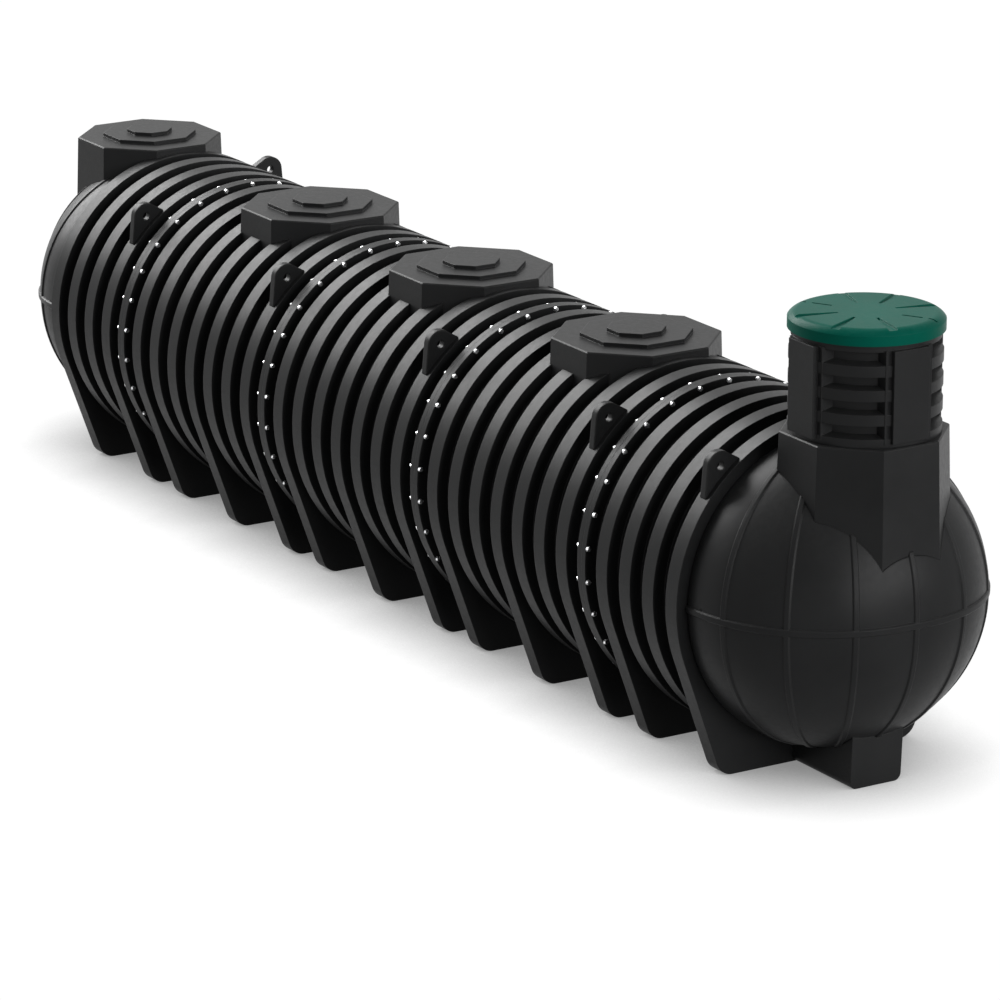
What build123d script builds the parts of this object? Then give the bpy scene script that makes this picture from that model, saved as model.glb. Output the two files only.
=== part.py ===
from build123d import *
import os
from math import acos, atan2, cos, radians, sin, sqrt, tan

os.makedirs("parts", exist_ok=True)

# Sizes in millimetres. X runs along the barrel, Z is up, and the ground is Z = 0.
# The tank is the same at both ends, apart from the open neck and riser at +X.

# Barrel sections
section_pitch = 1661.0
ground_clearance = 60.0
rib_radius = 870.0
rib_height = 67.0
rib_width = 100.0
rib_pitch = 213.0
wall = 12.0
flange_width = 37.0

# Dished ends, which bulge past the barrel's shell over a round shoulder and flatten at the nose
dome_bulge = 10.5
dome_stretch = 13.5
knuckle_offset = 61.5
nose_radius = 1500.0
shoulder_radius = 100.0

# Moulded beads on the domes: one level seam and upright beads that fan out from the poles
seam_height = 11.0
seam_width = 40.0
seam_chamfer = 7.0
bead_height = 8.0
bead_width = 34.0
bead_chamfer = 6.0
bead_step = 25.0
bead_hub = 130.0

# Saddle feet
foot_half_spread = 518.0
foot_corner_radius = 100.0

# Keels under the domed ends
keel_width = 310.0
keel_foot_length = 510.0
keel_lean = 3.0
keel_corner_radius = 40.0

# Octagonal hatches and the end turrets, which all rise to one level
hatch_flats = 842.0
hatch_rise = 32.0
hatch_draft = 1.75
hatch_bevel = 6.0
tier_height = 20.0
tier_inset = 141.0
tier_two_inset = 133.0
turret_flats = 799.0
turret_reach = 352.0

# Riser
manhole_radius = 300.0
riser_core_radius = 325.0
riser_rib_radius = 384.0
riser_rib_height = 56.0
riser_rib_root = 84.0
riser_base_height = 44.0
collar_height = 34.0
collar_radius = 374.0
pad_width = 213.0
pad_reach = 390.0
pad_bottom = 20.0
pad_top_gap = 27.0
pad_root_width = 276.0
pad_root_reach = 362.0

# Lid
overall_height = 2430.0
lid_height = 81.0
lid_radius = 393.0
lid_flat_radius = 339.0
lid_rim_height = 30.0
lid_skin = 18.0
groove_start = 150.0
groove_start_width = 16.0
groove_rim_width = 54.0
groove_depth = 9.0
groove_draft = 4.0
slot_start = 190.0
slot_end = 300.0
notch_start = 330.0
slot_width = 13.0
slot_depth = 14.0
first_slot_angle = 30.0

# Lifting lugs
lug_angle = 49.4
lug_rise = 47.0
lug_hole_radius = 22.0
lug_edge_radius = 78.0
lug_thickness = 44.0
lug_low_angle = 38.5
lug_high_angle = 55.5
lug_tip_radius = 8.0

# Worked out from the sizes above
shell_radius = rib_radius - rib_height
bore_radius = shell_radius - wall
dome_radius = shell_radius + dome_bulge
dome_reach = dome_radius + dome_stretch
knuckle_radius = dome_radius - knuckle_offset
axis_height = rib_radius + ground_clearance
first_rib = section_pitch / 2 - 3 * rib_pitch
barrel_end = 1.5 * section_pitch + first_rib + 3 * rib_pitch + rib_width / 2
nose_centre = barrel_end + dome_reach - nose_radius
knuckle_x = nose_centre + sqrt((nose_radius - knuckle_radius) ** 2 - knuckle_offset ** 2)
nose_angle = atan2(knuckle_offset, knuckle_x - nose_centre)
turret_offset = barrel_end + turret_reach
hatch_top = axis_height + rib_radius + hatch_rise
lid_bottom = overall_height - lid_height
riser_height = lid_bottom - hatch_top
lug_hole_from_axis = rib_radius + lug_rise
axis = Axis((0, 0, axis_height), (1, 0, 0))
axis_plane = Plane.XY.offset(axis_height)


def keep(piece, name):
    piece.part.label = name
    export_step(piece.part, f"parts/{name}.step")


# Half the outline of a dished end: a shoulder arc that runs on into a knuckle, then a flat nose
def dome_profile(inset):
    nose = nose_radius - inset
    knuckle = knuckle_radius - inset
    shoulder = shoulder_radius - inset
    middle = Vector(knuckle_x, knuckle_offset)
    root_offset = Vector(barrel_end, shell_radius) - middle
    arm = knuckle_radius - shoulder_radius
    turn = atan2(-root_offset.X, root_offset.Y) - acos(
        (arm ** 2 + root_offset.length ** 2 - shoulder_radius ** 2) / (2 * arm * root_offset.length))
    bend = middle + Vector(-arm * sin(turn), arm * cos(turn))
    root = bend.Y + sqrt(shoulder ** 2 - (bend.X - barrel_end) ** 2)
    joint = middle + Vector(-knuckle * sin(turn), knuckle * cos(turn))
    crown = Vector(nose_centre + nose * cos(nose_angle), nose * sin(nose_angle))
    tip = Vector(nose_centre + nose, 0)
    with BuildSketch(mode=Mode.PRIVATE) as profile:
        with BuildLine():
            Polyline(tip, (barrel_end, 0), (barrel_end, root))
            RadiusArc((barrel_end, root), joint, shoulder)
            RadiusArc(joint, crown, knuckle)
            RadiusArc(crown, tip, nose)
        make_face()
    return profile.sketch


# The space inside the whole tank
with BuildPart() as cavity:
    with BuildSketch(axis_plane):
        add(dome_profile(wall))
        mirror(about=Plane.YZ)
        with Locations((0, bore_radius / 2)):
            Rectangle(2 * barrel_end, bore_radius)
    revolve(axis=axis)

# A shell that lies over the dome, from which its beads are cut
def dome_skin(thickness):
    with BuildPart(mode=Mode.PRIVATE) as skin:
        with BuildSketch(axis_plane):
            add(dome_profile(-thickness))
        revolve(axis=axis)
    return skin.part


# Upright beads stop at the hub, so that they don't meet under the turret or on the keel
with BuildPart() as beads:
    for k in range(-3, 4):
        turn = radians(k * bead_step)
        with BuildSketch(Plane((knuckle_x, 0, axis_height), (cos(turn), sin(turn), 0),
                               (sin(turn), -cos(turn), 0))):
            with Locations((bead_hub + dome_reach, 0)):
                Rectangle(2 * dome_reach, 4 * dome_radius)
        extrude(amount=bead_width / 2, both=True)
    add(dome_skin(bead_height), mode=Mode.INTERSECT)
    chamfer(beads.edges().filter_by(GeomType.LINE, reverse=True), length=bead_chamfer)

with BuildPart() as seam:
    with BuildSketch(axis_plane):
        add(dome_profile(-seam_height))
        mirror(about=Plane.XZ)
    extrude(amount=seam_width / 2, both=True)
    chamfer(seam.edges().filter_by(GeomType.CIRCLE), length=seam_chamfer)

# The outer form of the near dome
with BuildPart() as dome_form:
    with BuildSketch(axis_plane):
        add(dome_profile(0))
    revolve(axis=axis)
    add(seam.part)
    add(beads.part)


# An octagonal block that widens downward to the axis height
def octagon_block(x, flats, top, inset=0.0, lower_top=0.0):
    drop = top - lower_top - axis_height
    spread = drop * tan(radians(hatch_draft))
    with BuildPart() as block:
        with BuildSketch(Plane.XY.offset(top - lower_top)):
            with Locations((x, 0)):
                RegularPolygon(flats / 2 - inset, 8, major_radius=False, rotation=22.5)
        with BuildSketch(axis_plane):
            with Locations((x, 0)):
                RegularPolygon(flats / 2 - inset + spread, 8, major_radius=False, rotation=22.5)
        loft()
    return block.part


# Barrel shells, an upper and a lower half to each section
def half_shell(low, high, ribs, flange_faces, side):
    with BuildPart() as shell:
        with BuildSketch(axis_plane):
            with Locations(((low + high) / 2, (bore_radius + shell_radius) / 2)):
                Rectangle(high - low, wall)
            with Locations(*[(x, (bore_radius + rib_radius) / 2) for x in ribs]):
                Rectangle(rib_width, rib_radius - bore_radius)
            with Locations(*[(x, (bore_radius + rib_radius) / 2) for x in flange_faces]):
                Rectangle(flange_width, rib_radius - bore_radius)
        revolve(axis=axis, revolution_arc=180 * side)
    return shell.part


mid_centres = [-section_pitch, 0.0, section_pitch]
section_joint = 1.5 * section_pitch
flange_middle = section_pitch / 2 - flange_width / 2
foot_xs = []

for number, centre in enumerate(mid_centres, start=2):
    low = centre - section_pitch / 2
    high = centre + section_pitch / 2
    flanges = [centre - flange_middle, centre + flange_middle]
    all_ribs = [centre + k * rib_pitch for k in range(-3, 4)]
    plain_ribs = [centre + k * rib_pitch for k in (-2, -1, 1, 2)]
    foot_xs += [centre - 3 * rib_pitch, centre, centre + 3 * rib_pitch]

    with BuildPart() as upper:
        add(half_shell(low, high, all_ribs, flanges, 1))
        add(octagon_block(centre, hatch_flats, hatch_top), mode=Mode.SUBTRACT)
    keep(upper, f"section_{number}_upper_shell")

    with BuildPart() as lower:
        add(half_shell(low, high, plain_ribs, flanges, -1))
    keep(lower, f"section_{number}_lower_shell")

for number, side in ((1, -1), (5, 1)):
    low = min(side * section_joint, side * barrel_end)
    high = max(side * section_joint, side * barrel_end)
    flanges = [side * (section_joint + flange_width / 2)]
    rib_at = [side * (section_joint + first_rib + k * rib_pitch) for k in range(4)]
    foot_xs += [rib_at[0], rib_at[3]]

    with BuildPart() as upper:
        add(half_shell(low, high, rib_at, flanges, 1))
        turret = octagon_block(side * turret_offset, turret_flats, hatch_top)
        add(turret, mode=Mode.SUBTRACT)
    keep(upper, f"section_{number}_upper_shell")

    with BuildPart() as lower:
        add(half_shell(low, high, rib_at[1:3], flanges, -1))
    keep(lower, f"section_{number}_lower_shell")

# Domed ends
with BuildPart() as near_dome:
    add(dome_form.part)
    add(cavity.part, mode=Mode.SUBTRACT)
    add(octagon_block(turret_offset, turret_flats, hatch_top), mode=Mode.SUBTRACT)
keep(near_dome, "near_dome")

with BuildPart() as far_dome:
    mirror(near_dome.part, about=Plane.YZ)
keep(far_dome, "far_dome")

# Saddle feet: a plate hulled from the rib circle to two corners on the ground
for number, x in enumerate(sorted(foot_xs), start=1):
    with BuildPart() as foot:
        with BuildSketch(Plane.YZ.offset(x)):
            with BuildSketch(mode=Mode.PRIVATE) as rounds:
                with Locations((0, axis_height)):
                    Circle(rib_radius)
                with Locations((-foot_half_spread, foot_corner_radius),
                               (foot_half_spread, foot_corner_radius)):
                    Circle(foot_corner_radius)
            make_hull(rounds.sketch.edges())
            with Locations((0, axis_height + rib_radius)):
                Rectangle(4 * rib_radius, 2 * rib_radius, mode=Mode.SUBTRACT)
            with Locations((0, axis_height)):
                Circle(shell_radius, mode=Mode.SUBTRACT)
        extrude(amount=rib_width / 2, both=True)
    keep(foot, f"saddle_foot_{number:02d}")

# Keels: a fin from the last foot out under the dome
with BuildPart() as near_keel:
    keel_top = axis_height / 2
    keel_reach = barrel_end + keel_foot_length
    with BuildSketch(Plane.XZ):
        with BuildLine():
            Polyline((barrel_end, 0), (keel_reach, 0),
                     (keel_reach + keel_top * tan(radians(keel_lean)), keel_top),
                     (barrel_end, keel_top), close=True)
        make_face()
    extrude(amount=keel_width / 2, both=True)
    low_edges = near_keel.edges().filter_by(Axis.X).group_by(Axis.Z)[0]
    fillet(low_edges, radius=keel_corner_radius)
    add(dome_form.part, mode=Mode.SUBTRACT)
    split(bisect_by=axis_plane, keep=Keep.BOTTOM)
keep(near_keel, "near_keel")

with BuildPart() as far_keel:
    mirror(near_keel.part, about=Plane.YZ)
keep(far_keel, "far_keel")


# Closed octagonal hatches with two raised tiers
def hatch(x, flats, top):
    with BuildPart() as cover:
        add(octagon_block(x, flats, top))
        chamfer(cover.faces().sort_by(Axis.Z)[-1].edges(), length=hatch_bevel)
        with BuildSketch(Plane.XY.offset(top)):
            with Locations((x, 0)):
                RegularPolygon(flats / 2 - tier_inset, 8, major_radius=False, rotation=22.5)
        extrude(amount=tier_height)
        with BuildSketch(Plane.XY.offset(top + tier_height)):
            with Locations((x, 0)):
                RegularPolygon(flats / 2 - tier_inset - tier_two_inset, 8,
                               major_radius=False, rotation=22.5)
        extrude(amount=tier_height)
        add(octagon_block(x, flats, top, wall, wall), mode=Mode.SUBTRACT)
        add(cavity.part, mode=Mode.SUBTRACT)
    return cover


for name, x in (("far_middle_hatch", -section_pitch), ("middle_hatch", 0.0),
                ("near_middle_hatch", section_pitch)):
    keep(hatch(x, hatch_flats, hatch_top), name)
keep(hatch(-turret_offset, turret_flats, hatch_top), "far_turret_hatch")

# Near turret, with the manhole through its top
with BuildPart() as near_turret:
    add(octagon_block(turret_offset, turret_flats, hatch_top))
    chamfer(near_turret.faces().sort_by(Axis.Z)[-1].edges(), length=hatch_bevel)
    add(octagon_block(turret_offset, turret_flats, hatch_top, wall, wall), mode=Mode.SUBTRACT)
    add(cavity.part, mode=Mode.SUBTRACT)
    with BuildSketch(Plane.XY.offset(hatch_top)):
        with Locations((turret_offset, 0)):
            Circle(manhole_radius)
    extrude(amount=-2 * wall, mode=Mode.SUBTRACT)
keep(near_turret, "near_turret")

# Riser: a ribbed tube with four flat pads
riser_axis = Axis((turret_offset, 0, 0), (0, 0, 1))
riser_plane = Plane.XY.offset(hatch_top)
rib_slope = (riser_rib_root - riser_rib_height) / 2
base_root = riser_base_height + rib_slope
collar_root = collar_height + rib_slope
groove = (riser_height - base_root - collar_root - 3 * riser_rib_root) / 4
riser_bands = [(0.0, riser_base_height, 0.0, base_root, riser_rib_radius),
               (riser_height - collar_height, riser_height,
                riser_height - collar_root, riser_height, collar_radius)]
for k in range(3):
    rib_middle = base_root + groove + riser_rib_root / 2 + k * (groove + riser_rib_root)
    riser_bands.append((rib_middle - riser_rib_height / 2, rib_middle + riser_rib_height / 2,
                        rib_middle - riser_rib_root / 2, rib_middle + riser_rib_root / 2,
                        riser_rib_radius))

with BuildPart() as riser:
    with BuildSketch(Plane.XZ):
        with Locations((turret_offset + riser_core_radius / 2, hatch_top + riser_height / 2)):
            Rectangle(riser_core_radius, riser_height)
        for crest_low, crest_high, root_low, root_high, reach in riser_bands:
            with BuildLine():
                Polyline((turret_offset, hatch_top + root_low),
                         (turret_offset + riser_core_radius, hatch_top + root_low),
                         (turret_offset + reach, hatch_top + crest_low),
                         (turret_offset + reach, hatch_top + crest_high),
                         (turret_offset + riser_core_radius, hatch_top + root_high),
                         (turret_offset, hatch_top + root_high), close=True)
            make_face()
    revolve(axis=riser_axis)
    with BuildSketch(riser_plane.offset(pad_bottom)):
        with Locations((turret_offset, 0)):
            Rectangle(2 * pad_reach, pad_width)
            Rectangle(pad_width, 2 * pad_reach)
            Rectangle(2 * pad_root_reach, pad_root_width)
            Rectangle(pad_root_width, 2 * pad_root_reach)
    extrude(amount=riser_height - pad_bottom - pad_top_gap)
    with BuildSketch(riser_plane):
        with Locations((turret_offset, 0)):
            Circle(manhole_radius)
    extrude(amount=riser_height, mode=Mode.SUBTRACT)
keep(riser, "riser")

# Lid: a shallow cap with a rounded rim, six wedge grooves and two narrow slots
lid_plane = Plane.XY.offset(overall_height)
with BuildPart() as lid:
    with BuildSketch(Plane.XZ):
        with BuildLine():
            Line((turret_offset, overall_height), (turret_offset + lid_flat_radius, overall_height))
            TangentArc((turret_offset + lid_flat_radius, overall_height),
                       (turret_offset + lid_radius, overall_height - lid_rim_height),
                       tangent=(1, 0))
            Polyline((turret_offset + lid_radius, overall_height - lid_rim_height),
                     (turret_offset + lid_radius, lid_bottom),
                     (turret_offset + collar_radius - wall, lid_bottom),
                     (turret_offset + lid_flat_radius - lid_skin, overall_height - lid_skin),
                     (turret_offset, overall_height - lid_skin),
                     (turret_offset, overall_height))
        make_face()
    revolve(axis=riser_axis)
    for k in (1, 2, 3, 5, 6, 7):
        for depth in (0.0, groove_depth):
            start_half = groove_start_width / 2 - depth * groove_draft / groove_depth
            rim_half = groove_rim_width / 2 - depth * groove_draft / groove_depth
            with BuildSketch(lid_plane.offset(-depth)):
                with Locations((turret_offset, 0)):
                    with PolarLocations(0, 1, first_slot_angle + 45 * k):
                        Polygon((groove_start, -start_half), (lid_radius, -rim_half),
                                (lid_radius, rim_half), (groove_start, start_half), align=None)
        loft(mode=Mode.SUBTRACT)
    with BuildSketch(lid_plane):
        with Locations((turret_offset, 0)):
            with PolarLocations((slot_start + slot_end) / 2, 2, first_slot_angle):
                Rectangle(slot_end - slot_start, slot_width)
            with PolarLocations((notch_start + lid_radius) / 2, 2, first_slot_angle):
                Rectangle(lid_radius - notch_start, slot_width)
    extrude(amount=-slot_depth, mode=Mode.SUBTRACT)
keep(lid, "lid")

# Lifting lugs, two to a section, turned end for end about the section's middle
lug_front = {1: -section_joint - first_rib, 2: -section_pitch + 3 * rib_pitch,
             3: 3 * rib_pitch, 4: section_pitch + 3 * rib_pitch,
             5: barrel_end - rib_width / 2}
for number, front_x in lug_front.items():
    back_x = -lug_front[6 - number]
    with BuildPart() as lugs:
        for x, turn in ((front_x, 180), (back_x, 0)):
            with BuildSketch(Plane.YZ.offset(x)):
                with BuildSketch(mode=Mode.PRIVATE) as rounds:
                    with PolarLocations(lug_hole_from_axis, 1, lug_angle):
                        Circle(lug_edge_radius)
                    with PolarLocations(rib_radius, 1, lug_low_angle):
                        Circle(lug_tip_radius)
                    with PolarLocations(rib_radius, 1, lug_high_angle):
                        Circle(lug_tip_radius)
                with BuildSketch(mode=Mode.PRIVATE) as outline:
                    make_hull(rounds.sketch.edges())
                    Circle(rib_radius, mode=Mode.SUBTRACT)
                    with PolarLocations(lug_hole_from_axis, 1, lug_angle):
                        Circle(lug_hole_radius, mode=Mode.SUBTRACT)
                    if turn:
                        mirror(about=Plane.YZ, mode=Mode.REPLACE)
                with Locations((0, axis_height)):
                    add(outline.sketch)
            extrude(amount=lug_thickness / 2, both=True)
    keep(lugs, f"section_{number}_lifting_lugs")
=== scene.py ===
# %% [markdown]
# # A moulded plastic storage tank, dressed for a studio picture
#
# The real tank is black polyethylene, moulded in five ribbed sections that are bolted end to end.
# Its shapes come finished from the frame, so this lesson adds what the frame leaves out: the
# skin of the plastic, the steel bolts at the joints, the green lid's finish, and the studio.
# The frame is loaded first. Nothing may grow past it.

# %% Load the frame
from math import cos, pi, radians, sin

import bmesh
import bpy
from mathutils import Matrix, Quaternion, Vector


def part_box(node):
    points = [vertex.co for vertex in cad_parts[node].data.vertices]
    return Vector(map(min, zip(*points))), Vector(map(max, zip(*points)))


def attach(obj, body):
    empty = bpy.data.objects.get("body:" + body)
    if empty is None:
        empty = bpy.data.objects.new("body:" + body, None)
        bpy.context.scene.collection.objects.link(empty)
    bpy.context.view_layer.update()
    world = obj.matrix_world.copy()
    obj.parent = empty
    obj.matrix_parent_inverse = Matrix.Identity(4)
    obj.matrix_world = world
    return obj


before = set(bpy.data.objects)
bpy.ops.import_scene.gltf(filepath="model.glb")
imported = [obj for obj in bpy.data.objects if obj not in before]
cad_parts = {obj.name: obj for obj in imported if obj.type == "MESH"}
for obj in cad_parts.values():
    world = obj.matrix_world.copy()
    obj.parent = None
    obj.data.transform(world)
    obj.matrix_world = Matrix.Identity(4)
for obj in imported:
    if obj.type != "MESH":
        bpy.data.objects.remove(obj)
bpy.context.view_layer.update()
scene = bpy.context.scene
print("nodes in the frame:", len(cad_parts))

# %% [markdown]
# ## Sizes that the dressing shares
#
# The bolts have to sit on the barrel, so their places are read from the pieces that carry them,
# not typed a second time. The middle section's upper half gives all of them: its length is the
# distance between joints, its underside is the axis, and its side is the ribs' outer radius.

# %% Read the barrel's sizes
joint_count = 4
shell_low, shell_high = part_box("section_3_upper_shell")
section_pitch = shell_high.x - shell_low.x
axis_height = shell_low.z
rib_radius = shell_high.y
joints = [(k - (joint_count - 1) / 2) * section_pitch for k in range(joint_count)]
print("joints at", [round(x, 4) for x in joints], "axis", round(axis_height, 4))

# %% [markdown]
# ## Helpers that add nodes
#
# A material is a graph of nodes. It could be drawn in the editor, but a script needs a few lines
# for each node and link. `add_node` shortens that: it makes a node and fills its sockets by
# name. A socket takes a number or another node's output, and `feed` tells the two apart.
# `calculate` does one sum, and `new_material` starts an empty graph.

# %% Add and fill nodes
def feed(tree, socket, value):
    if isinstance(value, bpy.types.NodeSocket):
        tree.links.new(value, socket)
    else:
        socket.default_value = value


def add_node(tree, kind, **sockets):
    made = tree.nodes.new(kind)
    for name, value in sockets.items():
        feed(tree, made.inputs[name.replace("_", " ")], value)
    return made


def calculate(tree, operation, *values):
    made = tree.nodes.new("ShaderNodeMath")
    made.operation = operation
    for socket, value in zip(made.inputs, values):
        feed(tree, socket, value)
    return made.outputs["Value"]


def new_material(name):
    made = bpy.data.materials.new(name)
    made.use_nodes = True
    made.node_tree.nodes.clear()
    return made, made.node_tree


print("ready: feed, add_node, calculate and new_material")

# %% [markdown]
# ## Helpers that turn a pattern into a tone
#
# `noise` gives a cloudy number between 0 and 1 at each point. `ramp` reads such a number as a
# colour between two ends, `remap` stretches it to another range, and `mix` goes from one colour
# or direction to another. A Mix node holds sockets for every kind of value side by side, under
# the same names, so the places of its two inputs and its output are listed here once.

# %% Change values
mix_sockets = {"VECTOR": (4, 5, 1), "RGBA": (6, 7, 2)}


def noise(tree, place, scale, detail, roughness=0.5):
    made = add_node(tree, "ShaderNodeTexNoise", Vector=place, Scale=scale, Detail=detail, Roughness=roughness)
    return made.outputs["Fac"]


def ramp(tree, factor, low, high, low_colour, high_colour):
    made = add_node(tree, "ShaderNodeValToRGB", Fac=factor)
    first, last = made.color_ramp.elements
    first.position, first.color = low, (*low_colour, 1.0)
    last.position, last.color = high, (*high_colour, 1.0)
    return made.outputs["Color"]


def remap(tree, value, low, high, new_low, new_high):
    made = add_node(tree, "ShaderNodeMapRange", Value=value, From_Min=low, From_Max=high,
                    To_Min=new_low, To_Max=new_high)
    return made.outputs["Result"]


def mix(tree, kind, factor, first, second):
    made = add_node(tree, "ShaderNodeMix", Factor=factor)
    made.data_type = kind
    start, finish, result = mix_sockets[kind]
    feed(tree, made.inputs[start], first)
    feed(tree, made.inputs[finish], second)
    return made.outputs[result]


print("ready: noise, ramp, remap and mix")

# %% [markdown]
# ## Round edges that only the light sees
#
# Moulded edges are slightly round. They could be rounded in the meshes, but the frame's shapes
# have to stay as they are. A Bevel node bends the normal near each edge instead, so the light
# finds a roundness that isn't modelled. The two halves of a section meet flush at the axis,
# where the real tank has no edge, so the bend fades out at that height. How far the normal was
# bent also tells where the edges are. The scuffs are put there, together with a painted edge
# highlight: a paler colour that stands in for the light a rounded edge catches.

# %% Bend the normals at the edges
bevel_samples = 4
fade_ends = 1.5
# where the paler edge band, part scuff and part painted edge highlight, begins and is full
scuff_highlight_starts, scuff_highlight_full = 0.995, 0.86


def round_edges(tree, place, facing, radius):
    bevel = add_node(tree, "ShaderNodeBevel", Radius=radius)
    bevel.samples = bevel_samples
    height = add_node(tree, "ShaderNodeSeparateXYZ", Vector=place).outputs["Z"]
    from_axis = calculate(tree, "ABSOLUTE", calculate(tree, "SUBTRACT", height, axis_height))
    kept = remap(tree, from_axis, radius, radius * fade_ends, 0.0, 1.0)
    bent = mix(tree, "VECTOR", kept, facing, bevel.outputs["Normal"])
    likeness = tree.nodes.new("ShaderNodeVectorMath")
    likeness.operation = "DOT_PRODUCT"
    feed(tree, likeness.inputs[0], facing)
    feed(tree, likeness.inputs[1], bent)
    # paler edge mask: real scuffs plus a painted edge highlight
    edge = remap(tree, likeness.outputs["Value"], scuff_highlight_starts, scuff_highlight_full, 0.0, 1.0)
    return bent, edge


print("the bend fades out between 1 and", fade_ends, "edge radii from the axis")

# %% [markdown]
# ## The colour of weathered plastic, with a painted edge highlight
#
# Polyethylene from a hot mould has cloudy patches where it cooled unevenly. A little dust
# settles on what faces up, in speckles, and the edges are scuffed paler. That paler edge is also a
# painted highlight, standing in for the light that a rounded edge catches. All this could be
# painted into a picture, but every piece would need a map for it. A noise pattern needs none,
# and dust, scuffs and the painted edge highlight are then one pale colour that is laid over the
# plastic's own.

# %% Colour with dust and scuffs
cloud_band = (0.32, 0.72)
dusty_slope, dust_share = 0.35, 0.3
patch_band, patch_least = (0.35, 0.75), 0.1
scuff_and_highlight_share = 0.25


def weathered_and_highlit_colour(tree, place, facing, speckle, edge, tones):
    # the dust tone also colours the painted edge highlight
    deep, pale, dust = tones
    clouds = noise(tree, place, scale=2.2, detail=5.0, roughness=0.55)
    own_tone = ramp(tree, clouds, *cloud_band, deep, pale)
    up = add_node(tree, "ShaderNodeSeparateXYZ", Vector=facing).outputs["Z"]
    settled = remap(tree, up, dusty_slope, 1.0, 0.0, dust_share)
    patchy = remap(tree, speckle, *patch_band, patch_least, 1.0)
    # paler edges: real scuffs plus a painted highlight where an edge would catch light
    scuffed_and_highlit = calculate(tree, "MULTIPLY", edge, scuff_and_highlight_share)
    laid_over = calculate(tree, "MULTIPLY_ADD", settled, patchy, scuffed_and_highlit)
    return mix(tree, "RGBA", laid_over, own_tone, (*dust, 1.0))


# the scuff share also carries the painted edge highlight
print("dust covers at most", dust_share, "and scuffs", scuff_and_highlight_share, "of the plastic's colour")

# %% [markdown]
# ## Moulded plastic
#
# The skin is satin with a faint orange peel, which comes from the mould. A fine noise gives it as
# a bump, because it is far too small to model. The speckle that breaks up the dust also varies
# the roughness, as dust does. The patterns read Object coordinates, which run on unbroken from
# piece to piece. One function makes every plastic here, so that all weather alike and all carry
# the same painted edge highlight.

# %% Write the recipe for moulded plastic
peel_strength, peel_depth = 0.3, 0.001
speckle_band = (0.3, 0.7)


def moulded_plastic(name, tones, roughness, edge_radius, gloss):
    material, tree = new_material(name)
    place = add_node(tree, "ShaderNodeTexCoord").outputs["Object"]
    facing = add_node(tree, "ShaderNodeNewGeometry").outputs["Normal"]
    speckle = noise(tree, place, scale=34.0, detail=6.0, roughness=0.7)
    peel = noise(tree, place, scale=120.0, detail=3.0, roughness=0.6)
    bent, edge = round_edges(tree, place, facing, edge_radius)
    colour = weathered_and_highlit_colour(tree, place, facing, speckle, edge, tones)
    rough = remap(tree, speckle, *speckle_band, *roughness)
    skin = add_node(tree, "ShaderNodeBump", Strength=peel_strength, Distance=peel_depth,
                    Height=peel, Normal=bent)
    shader = add_node(tree, "ShaderNodeBsdfPrincipled", Base_Color=colour, Roughness=rough,
                      Specular_IOR_Level=gloss, Normal=skin.outputs["Normal"])
    add_node(tree, "ShaderNodeOutputMaterial", Surface=shader.outputs["BSDF"])
    return material


print("the orange peel's bump is at most", peel_depth * 1000, "mm deep")

# %% [markdown]
# ## Black plastic for the barrel and the lugs
#
# The barrel is near black and only slightly glossy. A pure black would lose the cloudy patches,
# so its three tones, deep, pale and dusty, all lie a little above it; the dusty one also colours
# the painted edge highlight. The lifting lugs are thicker mouldings with rounder edges, so they
# take the same plastic with a wider bend and a wider painted edge highlight.

# %% Make the black plastics
black_tones = ((0.0085, 0.0087, 0.009), (0.013, 0.0132, 0.0135), (0.042, 0.042, 0.041))
satin = (0.34, 0.46)
black_gloss = 0.10
black_plastic = moulded_plastic("black_plastic", black_tones, satin, edge_radius=0.006, gloss=black_gloss)
# the wider edge radius also widens the painted edge highlight
lug_plastic = moulded_plastic("lug_plastic", black_tones, satin, edge_radius=0.013, gloss=black_gloss)
print("made", black_plastic.name, "and", lug_plastic.name)

# %% [markdown]
# ## Green lid plastic
#
# The lid is injection moulded, so it is smoother and takes a colour. It could have a material of
# its own, but the same recipe serves, with a deep green, a lower roughness, sharper edges and a
# weaker shine.

# %% Make the lid's plastic
green_tones = ((0.0, 0.062, 0.042), (0.0, 0.078, 0.054), (0.025, 0.12, 0.10))
smooth = (0.30, 0.40)
green_plastic = moulded_plastic("green_plastic", green_tones, smooth, edge_radius=0.004, gloss=0.03)
print("made", green_plastic.name)

# %% [markdown]
# ## Zinc-plated steel
#
# The bolts are bright zinc, and mirror the white room. Plating never comes out quite even, so
# each has its own small change in tone and roughness. That could be a random number for each
# bolt, but a noise pattern on Object coordinates gives the same, because every bolt stands in
# another place.

# %% Make the bolts' steel
spangle_band = (0.3, 0.7)
steel_tones = ((0.86, 0.87, 0.88), (0.98, 0.98, 0.98))
steel_roughness = (0.22, 0.42)

zinc_steel, tree = new_material("zinc_steel")
place = add_node(tree, "ShaderNodeTexCoord").outputs["Object"]
spangle = noise(tree, place, scale=60.0, detail=3.0)
tone = ramp(tree, spangle, *spangle_band, *steel_tones)
rough = remap(tree, spangle, *spangle_band, *steel_roughness)
steel = add_node(tree, "ShaderNodeBsdfPrincipled", Base_Color=tone, Metallic=1.0, Roughness=rough)
add_node(tree, "ShaderNodeOutputMaterial", Surface=steel.outputs["BSDF"])
print("made", zinc_steel.name)

# %% [markdown]
# ## Dress the frame's pieces
#
# Every piece of the frame keeps its mesh and only changes its material. The lid is green, the
# lifting lugs take the version with the rounder edges, and all the rest is plain black plastic.

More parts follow.
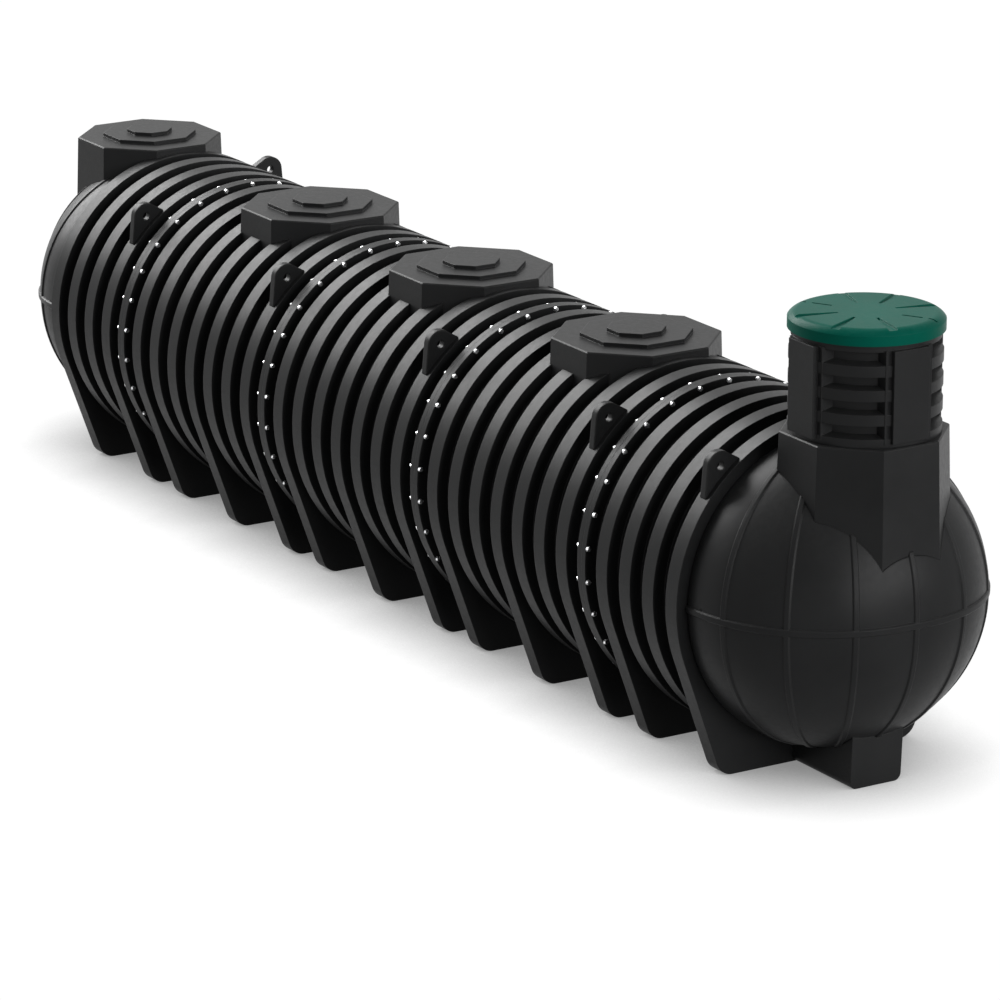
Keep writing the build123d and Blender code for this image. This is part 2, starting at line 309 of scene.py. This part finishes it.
# %% Give each piece its plastic
for name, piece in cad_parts.items():
    finish = black_plastic
    if name == "lid":
        finish = green_plastic
    elif name.endswith("lugs"):
        finish = lug_plastic
    piece.data.materials.clear()
    piece.data.materials.append(finish)
print("dressed", len(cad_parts), "pieces")

# %% [markdown]
# ## One bolt
#
# A bolt shows as a head on the near face of a flange pair and a nut on the far face. Each is a
# stack of short cones along X: a washer, then the six-sided head or nut, and on the nut's side
# also the bolt's own end, which stands out past it. One lathed outline couldn't give the six
# sides, so `create_cone` makes every step of the stack, turned to point away from the flange.

# %% Stack up a bolt
washer_radius, washer_height, washer_sides = 0.0145, 0.0025, 24
head_radius, head_height, head_sides, head_taper = 0.0128, 0.0095, 6, 0.94
end_radius, end_height, end_sides, end_taper = 0.0075, 0.012, 12, 0.85


def bolt_at(ring, x, outward):
    turn = Matrix.Rotation(outward * pi / 2, 4, "Y")
    stack = [(washer_sides, washer_radius, washer_radius, washer_height),
             (head_sides, head_radius, head_radius * head_taper, head_height)]
    if outward < 0:
        stack.append((end_sides, end_radius, end_radius * end_taper, end_height))
    base = 0.0
    for sides, low, high, height in stack:
        middle = Vector((x + outward * (base + height / 2), 0.0, 0.0))
        bmesh.ops.create_cone(ring, cap_ends=True, segments=sides, radius1=low, radius2=high,
                              depth=height, matrix=Matrix.Translation(middle) @ turn)
        base += height


print("a head stands", round((washer_height + head_height) * 1000, 1), "mm off its flange")

# %% [markdown]
# ## Bolts round the joints
#
# Each joint is held by thirty bolts on one circle, through the pair of flanges. An Array modifier
# could repeat them, but it turns its copies about a helper object. Here the first bolt is made on
# both faces of the flanges and copied round the circle with `duplicate` and `rotate`, which needs
# no helper and leaves a finished mesh. At the end every face is made to point outward.

# %% Make one ring of bolts to a joint
bolt_count = 30
bolt_circle = rib_radius - 0.014
first_bolt = radians(6.0)
flange_width = 0.037


def ring_of_bolts(joint):
    ring = bmesh.new()
    for outward in (-1, 1):
        bolt_at(ring, joint + outward * flange_width, outward)
    centre = Vector((joint, 0.0, axis_height))
    bmesh.ops.translate(ring, vec=(0.0, -bolt_circle, axis_height), verts=ring.verts)
    bmesh.ops.rotate(ring, cent=centre, matrix=Matrix.Rotation(-first_bolt, 3, "X"), verts=ring.verts)
    one = list(ring.verts) + list(ring.edges) + list(ring.faces)
    for k in range(1, bolt_count):
        copied = bmesh.ops.duplicate(ring, geom=one)["geom"]
        bmesh.ops.rotate(ring, cent=centre, matrix=Matrix.Rotation(-2 * pi * k / bolt_count, 3, "X"),
                         verts=[part for part in copied if isinstance(part, bmesh.types.BMVert)])
    bmesh.ops.recalc_face_normals(ring, faces=ring.faces)
    return ring


for number, joint in enumerate(joints, start=1):
    ring = ring_of_bolts(joint)
    mesh = bpy.data.meshes.new(f"joint_{number}_bolts")
    ring.to_mesh(mesh)
    ring.free()
    mesh.materials.append(zinc_steel)
    bolts = bpy.data.objects.new(mesh.name, mesh)
    scene.collection.objects.link(bolts)
    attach(bolts, "root")
print("heads and nuts:", 2 * bolt_count * len(joints), "faces to a ring:", len(mesh.polygons))

# %% [markdown]
# ## The studio floor
#
# A picture of a single object stands it on a floor that carries its shadow and has no edge in
# view. A curved backdrop could do that, but one very large square is simpler, and its far edge
# can't be seen from any side. It isn't part of the tank.

# %% Lay the floor
floor_half_width = 120.0
floor_mesh = bmesh.new()
bmesh.ops.create_grid(floor_mesh, x_segments=1, y_segments=1, size=floor_half_width)
mesh = bpy.data.meshes.new("studio_floor")
floor_mesh.to_mesh(mesh)
floor_mesh.free()
floor = bpy.data.objects.new("studio_floor", mesh)
scene.collection.objects.link(floor)
print("floor", round(floor.dimensions.x), "m wide")

# %% [markdown]
# ## A white room that doesn't flood the tank
#
# So much white all round would wash out the black plastic. Light Path tells what asks for a
# colour, so the floor and the room can answer by who asks. The camera and anything shiny find
# them white, while a matt surface gets a greyer light from them.

# %% Tell who sees the white
room_level = 0.26


def seen_or_mirrored(tree):
    ray = tree.nodes.new("ShaderNodeLightPath")
    found = ray.outputs["Is Camera Ray"]
    for kind in ("Is Glossy Ray", "Is Transmission Ray"):
        found = calculate(tree, "MAXIMUM", found, ray.outputs[kind])
    return found


print("matt surfaces get", room_level, "of the room's white")

# %% [markdown]
# ## Floor paper
#
# In even light a tank leaves a soft, tight shadow. A floor that took real light would need many
# samples to give that without grain. This one glows evenly instead, and an Ambient Occlusion
# node darkens it where the tank closes it in. Its white is a touch over 1, so that it is as
# white as the room where nothing shades it.

# %% Make the floor paper
floor_white = 1.02
shadow_reach, shadow_samples = 0.6, 8
shadow_band, shadow_least = (0.08, 0.86), 0.2

floor_paper, tree = new_material("floor_paper")
open_sky = add_node(tree, "ShaderNodeAmbientOcclusion", Distance=shadow_reach)
open_sky.samples = shadow_samples
shade = remap(tree, open_sky.outputs["AO"], *shadow_band, shadow_least, 1.0)
level = remap(tree, seen_or_mirrored(tree), 0.0, 1.0, room_level, floor_white)
glow = calculate(tree, "MULTIPLY", level, shade)
paper = add_node(tree, "ShaderNodeEmission", Color=(1.0, 1.0, 1.0, 1.0), Strength=glow)
add_node(tree, "ShaderNodeOutputMaterial", Surface=paper.outputs["Emission"])
floor.data.materials.append(floor_paper)
print("made", floor_paper.name)

# %% [markdown]
# ## Lamps
#
# The ribs' tops shine where they mirror one wide light behind the far end, high on the left,
# and go dark below it. A second wide light stands low beyond the near dome. Area lamps would
# light the near ribs more than the far ones. A sun lamp lights all of them alike, and a wide
# angle gives it the soft borders of a large lamp.

# %% Set up the lamps
def wide_sun(name, direction, strength, spread):
    data = bpy.data.lights.new(name, "SUN")
    data.energy = strength
    data.angle = radians(spread)
    lamp = bpy.data.objects.new(name, data)
    lamp.rotation_mode = "QUATERNION"
    lamp.rotation_quaternion = Vector(direction).to_track_quat("Z", "Y")
    scene.collection.objects.link(lamp)


wide_sun("far_end_light", direction=(-0.81, -0.14, 0.50), strength=4.9, spread=43.0)
wide_sun("near_end_light", direction=(0.95, 0.22, 0.16), strength=3.6, spread=50.0)

# %% [markdown]
# ## The room
#
# The room is the world around the tank. Walls could stand there, but a world has no corners to
# mirror. It answers as the floor does, so that no border shows where the two meet. The Standard
# view keeps its white as it is written here.

# %% Set up the room
room = bpy.data.worlds.new("studio_room")
scene.world = room
room.use_nodes = True
tree = room.node_tree
tree.nodes.clear()
level = remap(tree, seen_or_mirrored(tree), 0.0, 1.0, room_level, 1.0)
air = add_node(tree, "ShaderNodeBackground", Color=(1.0, 1.0, 1.0, 1.0), Strength=level)
add_node(tree, "ShaderNodeOutputWorld", Surface=air.outputs["Background"])
scene.view_settings.view_transform = "Standard"
print("room:", room.name)

# %% [markdown]
# ## Camera
#
# The picture was taken with a long lens, high and to the near end's left. A camera could be
# aimed at the tank by a constraint, but it would lose the slight roll. The place and the angles
# below were fitted to the tank's corners in the picture, and are kept as plain numbers.

# %% Place the camera
camera_place = Vector((25.0555, -15.3464, 9.4275))
camera_azimuth = radians(58.201)
camera_elevation = radians(16.9219)
camera_roll = radians(0.0869)
focal_in_frames = 5.5161
sensor_width = 36.0
view_reach = 400.0

data = bpy.data.cameras.new("studio_camera")
data.sensor_width = sensor_width
data.lens = focal_in_frames * sensor_width
data.clip_end = view_reach
camera = bpy.data.objects.new("studio_camera", data)
level_part = cos(camera_elevation)
aim = Vector((-sin(camera_azimuth) * level_part, cos(camera_azimuth) * level_part, -sin(camera_elevation)))
camera.location = camera_place
camera.rotation_mode = "QUATERNION"
camera.rotation_quaternion = aim.to_track_quat("-Z", "Y") @ Quaternion((0.0, 0.0, 1.0), camera_roll)
scene.collection.objects.link(camera)
scene.camera = camera
print("lens", round(data.lens, 2), "mm")
